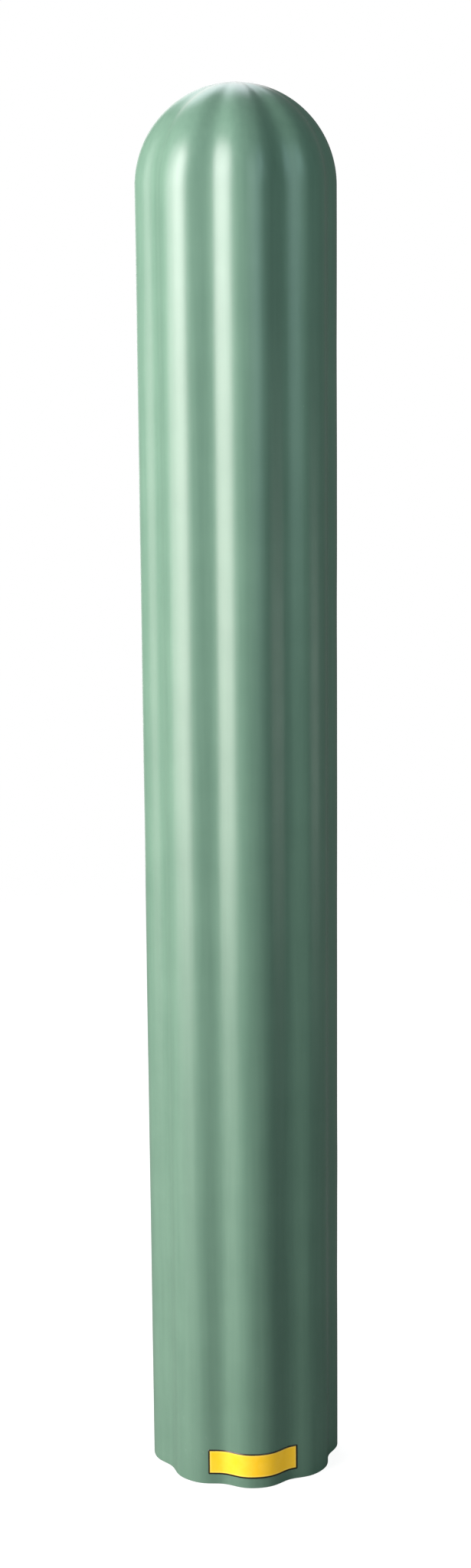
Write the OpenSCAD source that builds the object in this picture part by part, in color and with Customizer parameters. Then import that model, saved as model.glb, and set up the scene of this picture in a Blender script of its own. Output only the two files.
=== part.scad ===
// Fluted bollard cover sleeve that drops over a 6 inch pipe post, with a domed top and an open bottom.
// Millimetres. Z is up, the origin is the middle of the bottom rim, and the label faces -Y.
// Angles turn about the sleeve's axis: 0 is the front crest at -Y, 90 is the crest at +X.

/* [Sleeve] */
// Height from the bottom rim to the top of the dome
sleeve_h = 1422; // [900:1:1800]
// Diameter over the crests of the flutes
crest_d = 197; // [192:0.5:240]
// Number of flutes around the sleeve
flutes = 8; // [6:1:12]
// Depth of a flute, from crest to valley
flute_depth = 7.7; // [2:0.1:9.5]
// How much broader the crests are than the valleys, 0 where they are alike
crest_spread = 0.16; // [0:0.01:0.2]
// Thickness of the moulded wall
wall = 3.2; // [2:0.1:5]

/* [Post] */
// Outside diameter of the pipe post inside the sleeve
post_d = 168.3; // [114.3:0.1:169]
// Radial clearance between the post and the faces of the foam
post_fit = 0.15; // [0:0.05:0.6]

/* [Foam strips] */
// Width of a strip
strip_w = 25; // [10:1:36]
// Length of a strip
strip_len = 300; // [100:1:400]
// Height of the lower strips' bottom ends above the rim
strip_low_z = 50; // [10:1:150]
// Distance from the upper strips' top ends up to the start of the dome
strip_high_gap = 25; // [5:1:150]
// Clearance between the back of a strip and the wall, taken by its adhesive
strip_seat = 0.2; // [0.1:0.05:0.5]

/* [Label] */
// Length of the label along the fluted surface
label_w = 101.6; // [40:0.1:140]
// Height of the label
label_h = 27.4; // [12:0.1:60]
// Height of the label's lower edge above the rim
label_z = 11.1; // [5:0.1:100]
// How far round from the front crest the label's middle is, along the surface towards +X
label_off = -4; // [-20:0.5:20]
// Thickness of the label
label_t = 0.3; // [0.2:0.05:1]
// Clearance between the label and the sleeve, taken by its adhesive
label_seat = 0.1; // [0.05:0.05:0.5]

/* [Smoothness] */
// Flat faces across one flute
faces_per_flute = 12; // [8:2:16]
// Rings of faces up the outside of the dome
dome_rings = 16; // [8:1:20]
// Rings of faces up the inside of the dome
inner_dome_rings = 10; // [6:1:14]

/* [Hidden] */
crest_r = crest_d / 2;
dome_z = sleeve_h - crest_r; // the straight flutes end here and the dome starts
flute_a = 360 / flutes;
faces_round = flutes * faces_per_flute;
post_r = post_d / 2 + post_fit; // where the faces of the foam lie
post_fn = 96;
strip_high_z = dome_z - strip_high_gap - strip_len;
strips_low = ceil(flutes / 2); // on every second rib, counted from the front
strips_high = floor(flutes / 2); // on the ribs between those
walk_steps = 24;
to_deg = 180 / PI;

LOWER_STRIPS = [for (k = [1:strips_low]) str("foam_strip_lower_", k)];
UPPER_STRIPS = [for (k = [1:strips_high]) str("foam_strip_upper_", k)];

// Radius of the outer surface at an angle: crests at 0 and every flute_a, valleys halfway between
function flute_r(a) =
    crest_r - flute_depth * (1 - cos(flutes * a) - crest_spread * (1 - cos(2 * flutes * a))) / 2;

// How fast that radius changes, per radian
function flute_slope(a) =
    -flute_depth * flutes * (sin(flutes * a) - 2 * crest_spread * sin(2 * flutes * a)) / 2;

// Length of surface that one radian covers
function flute_speed(a) = norm([flute_r(a), flute_slope(a)]);

// Point at an angle, moved square to the outer surface by out, which is negative on the way in
function skin_point(a, out) =
    let (speed = flute_speed(a))
    let (along_radius = flute_r(a) + out * flute_r(a) / speed)
    let (across = -out * flute_slope(a) / speed)
    [along_radius * sin(a) + across * cos(a), across * sin(a) - along_radius * cos(a)];

// The whole outline at one distance from the outer surface
function skin_outline(out) = [for (i = [0:faces_round - 1]) skin_point(i * 360 / faces_round, out)];

// Angle reached by going a length along the surface, negative to the left, in short equal steps
function angle_after(length, a = 0, steps = walk_steps) =
    let (step = length / max(steps, 1))
    let (halfway = a + to_deg * step / 2 / flute_speed(a))
    let (next = a + to_deg * step / flute_speed(halfway))
    steps == 0 ? a : angle_after(length - step, next, steps - 1);

// One skin of the dome: its rings from the lowest up, then the pole
function dome_points(out, rings) =
    let (outline = skin_outline(out))
    [
        for (k = [0:rings - 1])
            for (p = outline * cos(90 * k / rings))
                [p.x, p.y, dome_z + (crest_r + out) * sin(90 * k / rings)],
        [0, 0, dome_z + crest_r + out]
    ];

// Four-sided faces between a dome skin's rings, and triangles round its pole, that face outwards
function dome_faces(start, rings) =
    [
        for (k = [0:rings - 2])
            for (i = [0:faces_round - 1])
                let (j = (i + 1) % faces_round)
                let (low = start + k * faces_round)
                let (high = low + faces_round)
                [low + i, high + i, high + j, low + j],
        for (i = [0:faces_round - 1])
            let (last = start + (rings - 1) * faces_round)
            [last + i, last + faces_round, last + (i + 1) % faces_round]
    ];

function turned_over(faces) = [for (f = faces) [for (i = [len(f) - 1:-1:0]) f[i]]];

// The layer between two distances from the outer surface
module skin_layer(low, high) {
    difference() {
        polygon(skin_outline(high));
        polygon(skin_outline(low));
    }
}

// The straight fluted part, cut flat and square at the bottom rim
module shaft() {
    linear_extrude(dome_z)
        skin_layer(-wall, 0);
}

// The closed top: every ring is the same outline, drawn in as on a ball, so the flutes fade to the pole
module dome() {
    outer = dome_points(0, dome_rings);
    inner = dome_points(-wall, inner_dome_rings);
    first = len(outer); // number of the inner skin's first point
    base = [
        for (i = [0:faces_round - 1])
            let (j = (i + 1) % faces_round)
            [i, j, first + j, first + i]
    ];
    polyhedron(
        points = concat(outer, inner),
        faces = concat(
            dome_faces(0, dome_rings),
            turned_over(dome_faces(first, inner_dome_rings)),
            base
        ),
        convexity = 4
    );
}

module sleeve_shell() {
    color("darkseagreen")
        union() {
            shaft();
            dome();
        }
}

// A thin film that follows the front crest and both valleys beside it
module label() {
    left = angle_after(label_off - label_w / 2);
    right = angle_after(label_off + label_w / 2);
    reach = crest_d;
    color("gold")
        translate([0, 0, label_z])
            linear_extrude(label_h)
                intersection() {
                    skin_layer(label_seat, label_seat + label_t);
                    polygon([
                        [0, 0],
                        [reach * sin(left), -reach * cos(left)],
                        [reach * sin(right), -reach * cos(right)]
                    ]);
                }
}

// What lies between the post and the back of the first rib, over the strip's width
module strip_section() {
    intersection() {
        difference() {
            polygon(skin_outline(-wall - strip_seat));
            circle(r = post_r, $fn = post_fn);
        }
        rotate(flute_a / 2)
            translate([-strip_w / 2, -crest_r])
                square([strip_w, crest_r]);
    }
}

// A strip of foam on a rib, counted from the first one past the front crest
module foam_strip(rib, z) {
    color("dimgray")
        translate([0, 0, z])
            rotate(rib * flute_a)
                linear_extrude(strip_len)
                    strip_section();
}

sleeve_shell();
label();
for (k = [0:strips_low - 1])
    foam_strip(2 * k, strip_low_z);
for (k = [0:strips_high - 1])
    foam_strip(2 * k + 1, strip_high_z);
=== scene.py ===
# Fluted bollard cover sleeve: green moulded shell, yellow label on the front, foam strips inside.
# Metres. Z is up, the origin is the middle of the bottom rim, and the label faces -Y.
# Angles turn about the sleeve's axis: 0 is the front crest at -Y, a quarter turn is the crest at +X.
import math

import bpy
from mathutils import Matrix, Vector


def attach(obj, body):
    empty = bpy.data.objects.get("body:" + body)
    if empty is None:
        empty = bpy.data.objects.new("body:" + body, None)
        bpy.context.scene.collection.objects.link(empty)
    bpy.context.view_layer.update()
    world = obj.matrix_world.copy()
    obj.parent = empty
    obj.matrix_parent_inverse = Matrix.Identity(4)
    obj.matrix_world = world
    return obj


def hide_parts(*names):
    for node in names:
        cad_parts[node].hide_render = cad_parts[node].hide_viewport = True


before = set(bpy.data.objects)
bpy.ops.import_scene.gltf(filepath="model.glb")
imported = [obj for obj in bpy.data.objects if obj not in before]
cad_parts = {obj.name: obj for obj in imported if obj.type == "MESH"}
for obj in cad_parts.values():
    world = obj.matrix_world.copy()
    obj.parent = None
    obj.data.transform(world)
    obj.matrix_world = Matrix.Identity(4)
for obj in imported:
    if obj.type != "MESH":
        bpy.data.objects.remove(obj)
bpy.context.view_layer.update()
scene = bpy.context.scene
print("frame loaded with", len(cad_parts), "parts")

# Where the photograph was taken from. The focal length is in pixels of its 2048 pixel height.
# Angles are in degrees.
camera = {
    "focal": 3760.0,
    "photoHeight": 2048,
    "sensor": 36.0,
    "distance": 2.85,
    "height": 1.3824,
    "round": -7.63,
    "turn": 0.107,
    "down": 12.919,
    "roll": -0.494,
}


def makeCamera(c):
    data = bpy.data.cameras.new("photoCamera")
    data.sensor_width = c["sensor"]
    data.lens = c["focal"] * c["sensor"] / c["photoHeight"]
    data.dof.use_dof = False
    place = math.radians(c["round"])
    heading = math.radians(c["round"] + c["turn"])
    down = math.radians(c["down"])
    ahead = Vector((-math.sin(heading) * math.cos(down), math.cos(heading) * math.cos(down), -math.sin(down)))
    right = Vector((math.cos(heading), math.sin(heading), 0))
    up = right.cross(ahead)
    level = Matrix((right, up, -ahead)).transposed().to_4x4()
    turned = level @ Matrix.Rotation(math.radians(c["roll"]), 4, "Z")
    spot = Vector((math.sin(place) * c["distance"], -math.cos(place) * c["distance"], c["height"]))
    made = bpy.data.objects.new("photoCamera", data)
    made.matrix_world = Matrix.Translation(spot) @ turned
    scene.collection.objects.link(made)
    scene.camera = made


makeCamera(camera)
print("camera placed")


class Wire:
    # A node's output. Arithmetic on it adds Math nodes, and add() makes any other node in the same tree.
    def __init__(self, tree, socket=None):
        self.tree = tree
        self.socket = socket

    def add(self, kind, values=(), out=0, stops=(), **settings):
        node = self.tree.nodes.new(kind)
        for name, value in settings.items():
            setattr(node, name, value)
        for k, (position, colour) in enumerate(stops):
            ramp = node.color_ramp.elements
            if k >= len(ramp):
                ramp.new(position)
            ramp[k].position = position
            ramp[k].color = colour
        for key, value in values.items() if isinstance(values, dict) else enumerate(values):
            if isinstance(value, Wire):
                self.tree.links.new(value.socket, node.inputs[key])
            else:
                node.inputs[key].default_value = value
        return Wire(self.tree, node.outputs[out])

    def maths(self, operation, *values):
        return self.add("ShaderNodeMath", values, operation=operation)

    def __add__(self, other):
        return self.maths("ADD", self, other)

    def __radd__(self, other):
        return self.maths("ADD", other, self)

    def __sub__(self, other):
        return self.maths("SUBTRACT", self, other)

    def __rsub__(self, other):
        return self.maths("SUBTRACT", other, self)

    def __mul__(self, other):
        return self.maths("MULTIPLY", self, other)

    def __rmul__(self, other):
        return self.maths("MULTIPLY", other, self)

    def __truediv__(self, other):
        return self.maths("DIVIDE", self, other)


def sine(x):
    return x.maths("SINE", x) if isinstance(x, Wire) else math.sin(x)


def cosine(x):
    return x.maths("COSINE", x) if isinstance(x, Wire) else math.cos(x)


def root(x):
    return x.maths("SQRT", x) if isinstance(x, Wire) else math.sqrt(x)


def stage(x, low, high):
    # Goes from 0 to 1 while x goes from low to high, and stays there
    return x.add("ShaderNodeMapRange", {"Value": x, "From Min": low, "From Max": high}, clamp=True)


def smoothStage(x, low, high):
    values = {"Value": x, "From Min": low, "From Max": high}
    return x.add("ShaderNodeMapRange", values, interpolation_type="SMOOTHSTEP")


def noise(at, scale, detail=2.0, roughness=0.5):
    values = {"Vector": at, "Scale": scale, "Detail": detail, "Roughness": roughness}
    return at.add("ShaderNodeTexNoise", values)


def vectorMaths(operation, first, second):
    return first.add("ShaderNodeVectorMath", [first, second], operation=operation)


def stretched(at, x, y, z):
    return vectorMaths("MULTIPLY", at, (x, y, z))


def blended(factor, first, second):
    return factor.add("ShaderNodeMix", {0: factor, 6: first, 7: second}, out=2, data_type="RGBA")


def newMaterial(name):
    # A material with one Principled shader. Returns it, a wire to start from, and the shader.
    material = bpy.data.materials.new(name)
    material.use_nodes = True
    tree = material.node_tree
    return material, Wire(tree), tree.nodes["Principled BSDF"]


def feed(shader, name, wire):
    wire.tree.links.new(wire.socket, shader.inputs[name])


def newTree(name, sizes):
    # A Geometry Nodes tree with a named input for each size. Returns it and the wires of its inputs.
    tree = bpy.data.node_groups.new(name, "GeometryNodeTree")
    tree.interface.new_socket(name="Mesh", in_out="OUTPUT", socket_type="NodeSocketGeometry")
    kinds = {int: "NodeSocketInt", float: "NodeSocketFloat", bpy.types.Material: "NodeSocketMaterial"}
    for sizeName, value in sizes.items():
        tree.interface.new_socket(name=sizeName, in_out="INPUT", socket_type=kinds[type(value)])
    inside = tree.nodes.new("NodeGroupInput")
    return tree, {sizeName: Wire(tree, inside.outputs[sizeName]) for sizeName in sizes}


def endTree(tree, mesh, material):
    # Smooth faces, real meshes in place of instances, and the finish
    smooth = mesh.add("GeometryNodeSetShadeSmooth", {"Geometry": mesh})
    real = mesh.add("GeometryNodeRealizeInstances", {"Geometry": smooth})
    finished = mesh.add("GeometryNodeSetMaterial", {"Geometry": real, "Material": material})
    tree.links.new(finished.socket, tree.nodes.new("NodeGroupOutput").inputs[0])


def growPiece(name, tree, sizes):
    # Runs the tree with these sizes and keeps what it makes as a plain mesh
    piece = bpy.data.objects.new(name, bpy.data.meshes.new(name + "Start"))
    scene.collection.objects.link(piece)
    modifier = piece.modifiers.new("grow", "NODES")
    modifier.node_group = tree
    for item in tree.interface.items_tree:
        if item.in_out == "INPUT":
            modifier[item.identifier] = sizes[item.name]
    mesh = bpy.data.meshes.new_from_object(piece.evaluated_get(bpy.context.evaluated_depsgraph_get()))
    mesh.name = name
    piece.modifiers.clear()
    piece.data = mesh
    return piece


# The sleeve's own sizes, which the label and the foam strips follow too
fluting = {
    "Crest Radius": 0.0985,
    "Flute Depth": 0.0077,
    "Crest Spread": 0.16,     # how much broader the crests are than the valleys
    "Flutes": 8,
}


def fluteRadius(s, turns):
    # Radius of the fluted surface, and how fast it changes with the angle. Takes numbers or wires.
    fall = (1 - cosine(turns) - s["Crest Spread"] * (1 - cosine(turns * 2))) / 2
    fallRate = s["Flutes"] * (sine(turns) - 2 * s["Crest Spread"] * sine(turns * 2)) / 2
    return s["Crest Radius"] - s["Flute Depth"] * fall, 0 - s["Flute Depth"] * fallRate


def skinPoint(s, angle, out):
    # X and Y of the point at an angle, moved square to the fluted surface by out. Takes numbers or wires.
    radius, slope = fluteRadius(s, angle * s["Flutes"])
    speed = root(radius * radius + slope * slope)
    along = radius + out * radius / speed
    across = 0 - out * slope / speed
    return along * sine(angle) + across * cosine(angle), across * sine(angle) - along * cosine(angle)


shell = {
    "Height": 1.422,
    "Wall": 0.0032,
    "Rim Round": 0.0005,      # the cut edge is only just broken
    "Waviness": 0.00035,      # how far the moulding strays from the drawn surface, in or out
    "Wave Scale": 1.6,
    "Wave Stretch": 5.0,      # how much shorter the waves are up the sleeve than round it
    "Wave Start": 0.05,       # height above the rim where they begin
    "Wave Full": 0.2,
    "Merge Distance": 0.000005,
    "Points Round": 320,
    "Outer Dome Rows": 36,
    "Outer Shaft Rows": 66,
    "Rim Rows": 8,
    "Inner Shaft Rows": 30,
    "Inner Dome Rows": 24,
}

shellLook = {
    "green": (0.091, 0.170, 0.124, 1),
    "paler": (0.107, 0.194, 0.142, 1),
    "mottleScale": 11.0,      # per metre
    "streakScale": 190.0,     # flow marks up the wall, about 5 mm apart
    "streakStretch": 0.035,
    "streakAmount": 0.42,
    "speckScale": 75.0,
    "speckEdge": (0.02, 0.055),
    "speckShare": (0.93, 0.95),   # of the cells, the ones beyond this have a speck
    "speckAmount": 0.55,
    "speckColour": (0.20, 0.29, 0.24, 1),
    # painted shade: the inner wall is given a darker green than the outside
    "inside": (0.062, 0.112, 0.084, 1),
    "insideRoughness": 0.58,
    "cut": (0.150, 0.245, 0.190, 1),
    "cutRoughness": 0.66,
    "scuff": (0.150, 0.235, 0.190, 1),
    "scuffHeight": 0.16,      # how far up from the rim handling marks reach
    "scuffFull": 0.004,       # they are thickest from here down
    "scuffAmount": 0.5,
    "scuffRoughness": 0.2,
    "scuffDepth": 0.000006,
    "scratchScale": 520.0,
    "scratchStretch": 0.05,
    "scratchLean": 0.5,       # radians
    "scratchEdge": (0.66, 0.72),
    "patchScale": 24.0,
    "patchEdge": (0.5, 0.66),
    "roughness": 0.34,
    "roughnessChange": 0.10,
    "roughnessScale": 26.0,
    "peelScale": 330.0,       # orange peel, about 3 mm across
    "peelDepth": 0.0000045,
    "insidePeel": 3,          # how much deeper it is on the inner wall, added to 1
    "grainScale": 2400.0,
    "grainDepth": 0.0000004,
    "seamWidth": 0.0011,      # where the two halves of the mould met, on the sides and over the dome
    "seamDepth": 0.00006,
    "sawScale": 900.0,        # lines of the saw in the cut rim
    "sawStretch": 0.1,
    "sawDepth": 0.00012,
}


def makeGreenPlastic(look):
    material, start, shader = newMaterial("greenPlastic")
    at = start.add("ShaderNodeTexCoord", out="Object")
    inward = start.add("ShaderNodeAttribute", out="Fac", attribute_name="inward")
    inside = stage(inward, 0.8, 1.0)
    cut = (1 - stage(inward, 0.6, 0.9)) * stage(inward, 0.1, 0.4)
    mottle = noise(at, look["mottleScale"], 4.0, 0.6)
    streaks = noise(stretched(at, 1, 1, look["streakStretch"]), look["streakScale"], 3.0, 0.55)
    tone = smoothStage(mottle * (1 - look["streakAmount"]) + streaks * look["streakAmount"], 0.3, 0.7)
    colour = blended(tone, look["green"], look["paler"])

    # A few pale specks of dust in the skin, each in its own cell
    cells = {"Vector": at, "Scale": look["speckScale"]}
    cellColour = at.add("ShaderNodeTexVoronoi", cells, out="Color")
    chance = at.add("ShaderNodeSeparateXYZ", [cellColour], out="X")
    nearness = 1 - stage(at.add("ShaderNodeTexVoronoi", cells, out="Distance"), *look["speckEdge"])
    specks = nearness * stage(chance, *look["speckShare"]) * (1 - inside)
    colour = blended(specks * look["speckAmount"], colour, look["speckColour"])

    # Handling marks: long thin scratches that lean a little, thickest near the rim
    height = at.add("ShaderNodeSeparateXYZ", [at], out="Z")
    low = 1 - smoothStage(height, look["scuffFull"], look["scuffHeight"])
    lean = {"Vector": at, "Angle": look["scratchLean"]}
    leaning = at.add("ShaderNodeVectorRotate", lean, rotation_type="Y_AXIS")
    lines = noise(stretched(leaning, 1, 1, look["scratchStretch"]), look["scratchScale"], 2.0)
    scratches = smoothStage(lines, *look["scratchEdge"])
    patches = smoothStage(noise(at, look["patchScale"], 2.0), *look["patchEdge"])
    scuffs = scratches * patches * low
    colour = blended(scuffs * look["scuffAmount"], colour, look["scuff"])

    # Painted shade: the inner wall takes the darker green, while its rougher finish is real
    colour = blended(inside, colour, look["inside"])
    colour = blended(cut, colour, look["cut"])
    feed(shader, "Base Color", colour)

    change = (noise(at, look["roughnessScale"], 5.0, 0.6) - 0.5) + (streaks - 0.5) * 0.6
    outer = look["roughness"] + change * look["roughnessChange"] + scuffs * look["scuffRoughness"]
    lined = outer + (look["insideRoughness"] - outer) * inside
    feed(shader, "Roughness", lined + (look["cutRoughness"] - lined) * cut)

    # All heights are in metres
    depth = at.add("ShaderNodeSeparateXYZ", [at], out="Y")
    seam = 1 - smoothStage(depth.maths("ABSOLUTE", depth), look["seamWidth"] * 0.25, look["seamWidth"])
    peel = noise(at, look["peelScale"], 2.0, 0.4) * look["peelDepth"] * (1 + inside * look["insidePeel"])
    grain = noise(at, look["grainScale"], 2.0) * look["grainDepth"]
    saw = noise(stretched(at, 1, look["sawStretch"], 1), look["sawScale"], 2.0) * look["sawDepth"] * cut
    ridge = seam * look["seamDepth"] * (1 - inside)
    relief = peel + grain + saw + ridge - scuffs * look["scuffDepth"]
    feed(shader, "Normal", at.add("ShaderNodeBump", {"Height": relief, "Distance": 1.0}))
    return material


def growShell(s, material):
    # One closed sheet: rows run from the pole of the dome down the outside, across the rim and up the inside
    sizes = {**fluting, **s, "Finish": material}
    tree, size = newTree("shellTree", sizes)
    start = Wire(tree)
    ends = [0]
    for part in ("Outer Dome Rows", "Outer Shaft Rows", "Rim Rows", "Inner Shaft Rows", "Inner Dome Rows"):
        ends.append(ends[-1] + size[part])
    grid = start.add("GeometryNodeMeshGrid", {
        "Size X": 1.0, "Size Y": 1.0, "Vertices X": size["Points Round"] + 1, "Vertices Y": ends[-1] + 1,
    })
    flat = start.add("ShaderNodeSeparateXYZ", [start.add("GeometryNodeInputPosition")], out="X")
    flatY = Wire(tree, flat.socket.node.outputs["Y"])
    angle = (flat + 0.5) * (2 * math.pi)
    row = (flatY + 0.5) * ends[-1]
    domeDown, shaftDown, rimIn, shaftUp, domeUp = (stage(row, ends[k], ends[k + 1]) for k in range(5))
    lowness = shaftDown - shaftUp                # 0 where the dome starts, 1 at the rim
    straightTop = size["Height"] - size["Crest Radius"]
    upright = (1 - lowness) * (1 - lowness)      # rows crowd towards the rim
    rise = size["Rim Round"] + upright * (straightTop - size["Rim Round"])
    around = start.add("ShaderNodeCombineXYZ", [sine(angle), cosine(angle), rise * size["Wave Stretch"]])
    waves = (noise(around, size["Wave Scale"], 1.0) - 0.5) * size["Waviness"] * 2
    stray = waves * smoothStage(rise, size["Wave Start"], size["Wave Full"])
    turn = rimIn * math.pi
    rimSide = cosine(turn)
    squared = rimSide.maths("SIGN", rimSide) * root(rimSide.maths("ABSOLUTE", rimSide))
    out = stray - size["Wall"] * (1 - squared) / 2
    height = rise - size["Rim Round"] * root(sine(turn).maths("MAXIMUM", sine(turn), 0.0))
    tilt = (1 - domeDown + domeUp) * (math.pi / 2)
    x, y = skinPoint(size, angle, out)
    place = start.add("ShaderNodeCombineXYZ", [
        x * cosine(tilt), y * cosine(tilt), height + (size["Crest Radius"] + out) * sine(tilt),
    ])
    bent = start.add("GeometryNodeSetPosition", {"Geometry": grid, "Position": place})
    mark = {"Geometry": bent, "Name": "inward", "Value": rimIn}
    marked = start.add("GeometryNodeStoreNamedAttribute", mark)
    closed = start.add("GeometryNodeMergeByDistance", {
        "Geometry": marked, "Distance": size["Merge Distance"],
    })
    endTree(tree, start.add("GeometryNodeFlipFaces", {"Mesh": closed}), size["Finish"])
    return growPiece("shell", tree, sizes)


greenPlastic = makeGreenPlastic(shellLook)
shellPiece = growShell(shell, greenPlastic)
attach(shellPiece, "root")
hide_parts("sleeve_shell")
print("shell grown with", len(shellPiece.data.polygons), "faces")

label = {
    "width": 0.1016,          # along the fluted surface
    "height": 0.0274,
    "low": 0.0111,            # height of the lower edge above the rim
    "shift": -0.004,          # from the front crest to the label's middle, along the surface
    "seat": 0.0001,           # what the adhesive takes
    "thickness": 0.0003,
    "corner": 0.0008,
    "columns": 120,
    "rows": 16,
    "crowding": 0.3,          # how much closer the columns stand at the ends
}

labelLook = {
    "yellow": (0.70, 0.44, 0.008, 1),
    "paleYellow": (0.80, 0.58, 0.10, 1),
    "edging": (0.012, 0.008, 0.004, 1),
    "edgingWidth": 0.0017,
    "paleWidth": 0.0026,      # a paler band just inside the edging
    "paintedLightGlow": (1.0, 0.48, 0.02, 1),
    "paintedLightGlowStrength": 0.26,     # painted light: this glow keeps the label's shaded end bright
    "roughness": 0.36,
    "roughnessChange": 0.16,
    "roughnessScale": 240.0,
    "patchScale": 90.0,
    "raggedScale": 700.0,     # the print's edge isn't quite straight
    "raggedness": 0.0003,
    "creaseScale": 120.0,
    "creaseDepth": 0.00003,
    "grainScale": 1500.0,
    "grainDepth": 0.000002,
}


def makeLabelFilm(look, size):
    # Plain printed film with nothing written on it
    material, start, shader = newMaterial("labelFilm")
    at = start.add("ShaderNodeTexCoord", out="Object")
    flat = start.add("ShaderNodeTexCoord", out="UV")
    across = start.add("ShaderNodeSeparateXYZ", [flat], out="X")
    up = Wire(flat.tree, across.socket.node.outputs["Y"])
    fromEnds = (0.5 - (across - 0.5).maths("ABSOLUTE", across - 0.5)) * size["width"]
    fromEdges = (0.5 - (up - 0.5).maths("ABSOLUTE", up - 0.5)) * size["height"]
    ragged = (noise(at, look["raggedScale"], 3.0) - 0.5) * look["raggedness"]
    inward = fromEnds.maths("MINIMUM", fromEnds, fromEdges) + ragged
    patches = smoothStage(noise(at, look["patchScale"], 4.0, 0.6), 0.3, 0.7)
    band = 1 - smoothStage(inward, look["paleWidth"] * 0.6, look["paleWidth"] * 1.5)
    ink = blended(band * 0.8 + patches * 0.2, look["yellow"], look["paleYellow"])
    yellow = stage(inward, look["edgingWidth"] * 0.8, look["edgingWidth"] * 1.2)
    feed(shader, "Base Color", blended(yellow, look["edging"], ink))
    # Painted light: the yellow print glows, so its shaded end stays as bright as its lit end
    feed(shader, "Emission Color", blended(yellow, (0, 0, 0, 1), look["paintedLightGlow"]))
    shader.inputs["Emission Strength"].default_value = look["paintedLightGlowStrength"]
    change = noise(at, look["roughnessScale"], 3.0) - 0.5
    feed(shader, "Roughness", look["roughness"] + change * look["roughnessChange"])
    creases = noise(stretched(at, 1, 1, 0.4), look["creaseScale"], 2.0) * look["creaseDepth"]
    relief = creases + noise(at, look["grainScale"], 2.0) * look["grainDepth"]
    feed(shader, "Normal", at.add("ShaderNodeBump", {"Height": relief, "Distance": 1.0}))
    return material


def angleAfter(length, steps=48):
    # The angle reached by going a length along the fluted surface from the front crest, negative to the left
    angle = 0.0
    for _ in range(steps):
        middle = angle
        for part in (0.5, 1.0):
            radius, slope = fluteRadius(fluting, middle * fluting["Flutes"])
            middle = angle + part * length / steps / math.hypot(radius, slope)
        angle = middle
    return angle


def makeLabel(s, material):
    # A grid of film on the fluted surface, closer at the ends, where the corners are rounded
    half = s["width"] / 2
    verts = []
    marks = []
    for i in range(s["columns"] + 1):
        even = 2 * i / s["columns"] - 1
        crowded = math.sin(math.pi / 2 * even)
        along = half * ((1 - s["crowding"]) * even + s["crowding"] * crowded)
        x, y = skinPoint(fluting, angleAfter(along + s["shift"]), s["seat"])
        past = max(0.0, abs(along) - (half - s["corner"]))
        halfHigh = s["height"] / 2 - s["corner"] + math.sqrt(max(0.0, s["corner"] ** 2 - past ** 2))
        for j in range(s["rows"] + 1):
            up = halfHigh * (2 * j / s["rows"] - 1)
            verts.append((x, y, s["low"] + s["height"] / 2 + up))
            marks.append((along / s["width"] + 0.5, up / s["height"] + 0.5))
    faces = []
    step = s["rows"] + 1
    for i in range(s["columns"]):
        for j in range(s["rows"]):
            a = i * step + j
            faces.append((a, a + step, a + step + 1, a + 1))
    mesh = bpy.data.meshes.new("label")
    mesh.from_pydata(verts, [], faces)
    layer = mesh.uv_layers.new(name="labelMap")
    for loop in mesh.loops:
        layer.data[loop.index].uv = marks[loop.vertex_index]
    mesh.materials.append(material)
    mesh.polygons.foreach_set("use_smooth", [True] * len(mesh.polygons))
    piece = bpy.data.objects.new("label_film", mesh)
    scene.collection.objects.link(piece)
    thick = piece.modifiers.new("thickness", "SOLIDIFY")
    thick.thickness = s["thickness"]
    thick.offset = 1.0
    return piece


labelFilm = makeLabelFilm(labelLook, label)
labelPiece = makeLabel(label, labelFilm)
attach(labelPiece, "root")
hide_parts("label")
print("label laid on the front crest")

foam = {
    "Post Radius": 0.0843,
    "Wall Back": 0.0034,      # from the outer surface in to the back of the foam
    "Width": 0.0246,
    "Length": 0.3,
    "Thickness": 0.004,       # only for rounding the corners: the real one varies across the rib
    "Corner": 0.0011,
    "Unevenness": 0.0002,
    "Lump Scale": 160.0,
    "Lump Radius": 0.09,      # turns an angle into a length for the lumps
    "Points Across": 17,
    "Points Deep": 5,
    "Points Long": 121,
}

foamPlaces = {
    "foam_strip_lower": {"firstRib": 0, "bottom": 0.05},
    "foam_strip_upper": {"firstRib": 1, "bottom": 0.9985},
}

foamLook = {
    "dark": (0.012, 0.012, 0.013, 1),
    "light": (0.035, 0.035, 0.038, 1),
    "poreScale": 900.0,
    "poreEdge": (0.1, 0.6),
    "poreDepth": 0.0004,
    "poreStrength": 0.8,
    "roughness": 0.95,
}


def makeFoamTape(look):
    material, start, shader = newMaterial("foamTape")
    at = start.add("ShaderNodeTexCoord", out="Object")
    pores = at.add("ShaderNodeTexVoronoi", {"Vector": at, "Scale": look["poreScale"]}, out="Distance")
    feed(shader, "Base Color", blended(stage(pores, *look["poreEdge"]), look["dark"], look["light"]))
    shader.inputs["Roughness"].default_value = look["roughness"]
    bump = {"Height": pores, "Distance": look["poreDepth"], "Strength": look["poreStrength"]}
    feed(shader, "Normal", at.add("ShaderNodeBump", bump))
    return material


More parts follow.
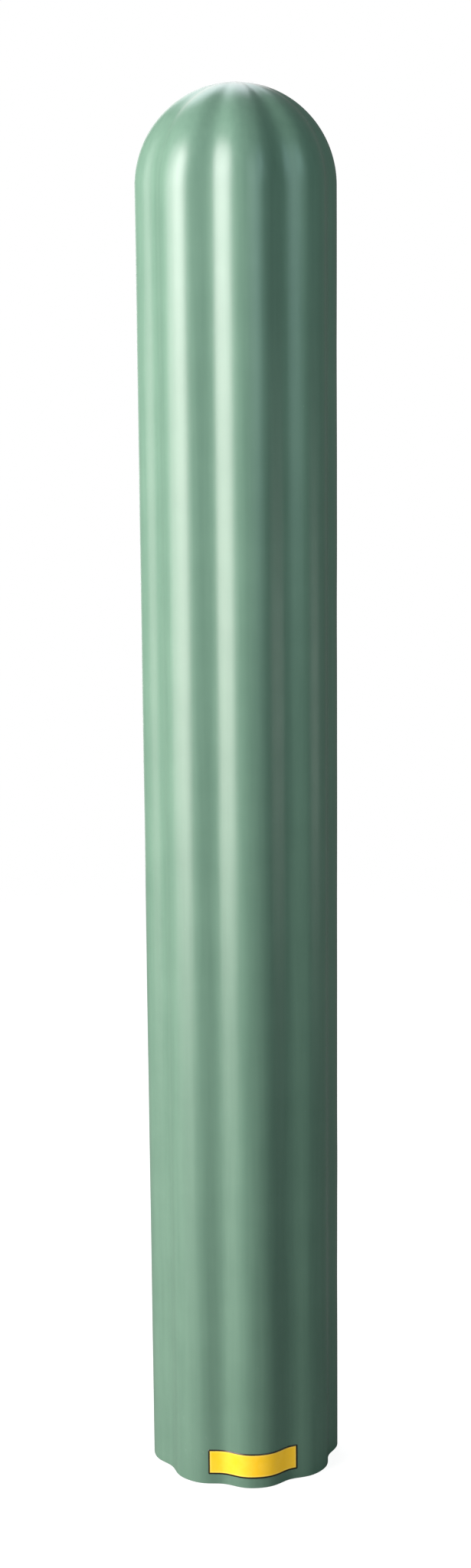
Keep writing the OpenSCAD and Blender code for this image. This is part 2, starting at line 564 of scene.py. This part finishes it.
def foamTree(sizes):
    # A rounded bar of foam between the post and the back of one rib
    tree, size = newTree("foamTree", sizes)
    start = Wire(tree)
    thick = size["Thickness"]
    box = start.add("GeometryNodeMeshCube", {
        "Size": start.add("ShaderNodeCombineXYZ", [size["Width"], thick, size["Length"]]),
        "Vertices X": size["Points Across"],
        "Vertices Y": size["Points Deep"],
        "Vertices Z": size["Points Long"],
    })
    at = start.add("GeometryNodeInputPosition")
    halves = start.add("ShaderNodeCombineXYZ", [
        size["Width"] / 2 - size["Corner"], thick / 2 - size["Corner"], size["Length"] / 2 - size["Corner"],
    ])
    core = vectorMaths("MAXIMUM", vectorMaths("MINIMUM", at, halves), stretched(halves, -1, -1, -1))
    away = start.add("ShaderNodeVectorMath", [vectorMaths("SUBTRACT", at, core)], operation="NORMALIZE")
    ball = start.add("ShaderNodeVectorMath", {0: away, "Scale": size["Corner"]}, operation="SCALE")
    rounded = vectorMaths("ADD", core, ball)
    across = start.add("ShaderNodeSeparateXYZ", [rounded], out="X")
    depth = Wire(tree, across.socket.node.outputs["Y"])
    up = Wire(tree, across.socket.node.outputs["Z"])
    share = depth / thick + 0.5
    angle = size["Rib"] + across / (size["Post Radius"] + thick / 2)
    backX, backY = skinPoint(size, angle, 0 - size["Wall Back"])
    unrolled = start.add("ShaderNodeCombineXYZ", [angle * size["Lump Radius"], depth, up])
    lump = (noise(unrolled, size["Lump Scale"], 2.0) - 0.5) * size["Unevenness"] * 2
    frontRadius = size["Post Radius"] + lump + size["Unevenness"]
    frontX = sine(angle) * frontRadius
    frontY = 0 - cosine(angle) * frontRadius
    height = up + size["Bottom"] + size["Length"] / 2
    place = start.add("ShaderNodeCombineXYZ", [
        frontX + (backX - frontX) * share, frontY + (backY - frontY) * share, height,
    ])
    bent = start.add("GeometryNodeSetPosition", {"Geometry": box, "Position": place})
    endTree(tree, bent, size["Finish"])
    return tree


foamTape = makeFoamTape(foamLook)
ribStep = 2 * math.pi / fluting["Flutes"]
stripsPerLevel = fluting["Flutes"] // 2
foamSizes = {**fluting, **foam, "Rib": 0.0, "Bottom": 0.0, "Finish": foamTape}
stripTree = foamTree(foamSizes)
for level, place in foamPlaces.items():
    for k in range(stripsPerLevel):
        rib = ribStep * (0.5 + place["firstRib"] + 2 * k)
        cadNode = level + "_" + str(k + 1)
        stripSizes = {**foamSizes, "Rib": rib, "Bottom": place["bottom"]}
        strip = growPiece(cadNode.replace("strip", "pad"), stripTree, stripSizes)
        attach(strip, "root")
        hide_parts(cadNode)
print("foam strips set inside")

studio = {
    "floorRadius": 6.0,
    "floorFadeStart": 0.5,
    "floorFadeEnd": 2.4,
    "floorPoints": 96,
    "floorRoughness": 0.8,
    "floorColour": (0.13, 0.13, 0.13, 1),
    "floorGlow": (0.92, 0.92, 0.92, 1),   # only the camera sees it
    "backdrop": (1, 1, 1, 1),
    "ambient": (0.165, 0.17, 0.163, 1),
}


def makeFloor(s):
    # A pale disc that fades into the white backdrop and can't be seen from below
    material, start, shader = newMaterial("studioFloor")
    tree = start.tree
    at = start.add("ShaderNodeTexCoord", out="Object")
    reach = at.add("ShaderNodeVectorMath", [at], out="Value", operation="LENGTH")
    seen = start.add("ShaderNodeLightPath", out="Is Camera Ray")
    below = start.add("ShaderNodeNewGeometry", out="Backfacing")
    shader.inputs["Base Color"].default_value = s["floorColour"]
    shader.inputs["Roughness"].default_value = s["floorRoughness"]
    shader.inputs["Emission Strength"].default_value = 1.0
    feed(shader, "Emission Color", blended(seen, (0, 0, 0, 1), s["floorGlow"]))
    away = smoothStage(reach, s["floorFadeStart"], s["floorFadeEnd"])
    mixer = tree.nodes.new("ShaderNodeMixShader")
    tree.links.new(away.maths("MAXIMUM", away, below).socket, mixer.inputs[0])
    tree.links.new(shader.outputs[0], mixer.inputs[1])
    tree.links.new(start.add("ShaderNodeBsdfTransparent").socket, mixer.inputs[2])
    tree.links.new(mixer.outputs[0], tree.nodes["Material Output"].inputs["Surface"])
    corners = [math.tau * k / s["floorPoints"] for k in range(s["floorPoints"])]
    rim = [(math.cos(k) * s["floorRadius"], math.sin(k) * s["floorRadius"], 0) for k in corners]
    mesh = bpy.data.meshes.new("floor")
    mesh.from_pydata(rim, [], [tuple(range(len(rim)))])
    mesh.materials.append(material)
    floor = bpy.data.objects.new("floor", mesh)
    scene.collection.objects.link(floor)


def makeWorld(s):
    # The camera sees the white backdrop, and the object is lit by a dim room
    world = bpy.data.worlds.new("studioWorld")
    scene.world = world
    world.use_nodes = True
    tree = world.node_tree
    start = Wire(tree)
    seen = start.add("ShaderNodeLightPath", out="Is Camera Ray")
    colour = blended(seen, s["ambient"], s["backdrop"])
    tree.links.new(colour.socket, tree.nodes["Background"].inputs["Color"])


# Soft boxes: direction round the sleeve from the camera's side in degrees, height, distance, size, power in
# watts and colour. A box is aimed level at the sleeve's axis, unless a height to aim at is given.
lamps = {
    "keyWide": {
        "round": -66, "high": 2.12, "far": 2.4, "size": (2.6, 2.05),
        "power": 87, "colour": (1, 0.96, 0.955),
    },
    "keyMiddle": {
        "round": -58, "high": 2.12, "far": 2.4, "size": (1.3, 2.05),
        "power": 67, "colour": (1, 0.967, 0.967),
    },
    "keyCore": {
        "round": -62, "high": 2.12, "far": 2.4, "size": (0.65, 2.05),
        "power": 24, "colour": (1, 0.87, 0.865),
    },
    "keyWideLow": {
        "round": -66, "high": 0.55, "far": 2.4, "size": (2.6, 1.1),
        "power": 50, "colour": (1, 0.93, 0.885),
    },
    "keyMiddleLow": {
        "round": -58, "high": 0.55, "far": 2.4, "size": (1.3, 1.1),
        "power": 21, "colour": (1, 0.94, 0.88),
    },
    "right": {
        "round": 34, "high": 1.3, "far": 2.4, "size": (0.63, 1.2),
        "power": 4.5, "colour": (0.62, 0.93, 1),
    },
    "rightFront": {
        "round": 22, "high": 1.9, "far": 2.4, "size": (0.63, 2),
        "power": 11.5, "colour": (0.75, 0.967, 1),
    },
    "rightHigh": {
        "round": 46, "high": 2.45, "far": 2.4, "size": (0.7, 1.3),
        "power": 9.5, "colour": (0.6, 0.92, 1),
    },
    "rightLow": {
        "round": 86, "high": 0.37, "far": 2.4, "size": (1.26, 0.68),
        "power": 4.8, "colour": (0.93, 1, 0.9),
    },
    "back": {
        "round": -172, "high": 1.58, "far": 2.4, "size": (1.26, 3.1),
        "power": 29, "colour": (1, 0.945, 0.98),
    },
    "backHigh": {
        "round": -170, "high": 3.05, "far": 1.7, "size": (1.6, 1.1),
        "power": 20, "colour": (0.85, 0.93, 1), "aim": 1.38,
    },
}


def makeLamp(name, s):
    data = bpy.data.lights.new(name, "AREA")
    data.shape = "RECTANGLE"
    data.size, data.size_y = s["size"]
    data.energy = s["power"]
    data.color = s["colour"]
    turn = math.radians(s["round"] + camera["round"])
    lamp = bpy.data.objects.new(name, data)
    lamp.location = (math.sin(turn) * s["far"], -math.cos(turn) * s["far"], s["high"])
    lamp.rotation_mode = "QUATERNION"
    back = lamp.location - Vector((0, 0, s.get("aim", s["high"])))
    lamp.rotation_quaternion = back.to_track_quat("Z", "Y")
    lamp.visible_camera = False
    scene.collection.objects.link(lamp)


makeFloor(studio)
makeWorld(studio)
for name, lamp in lamps.items():
    makeLamp(name, lamp)
scene.view_settings.view_transform = "Standard"
print("studio lit with", len(lamps), "soft boxes")
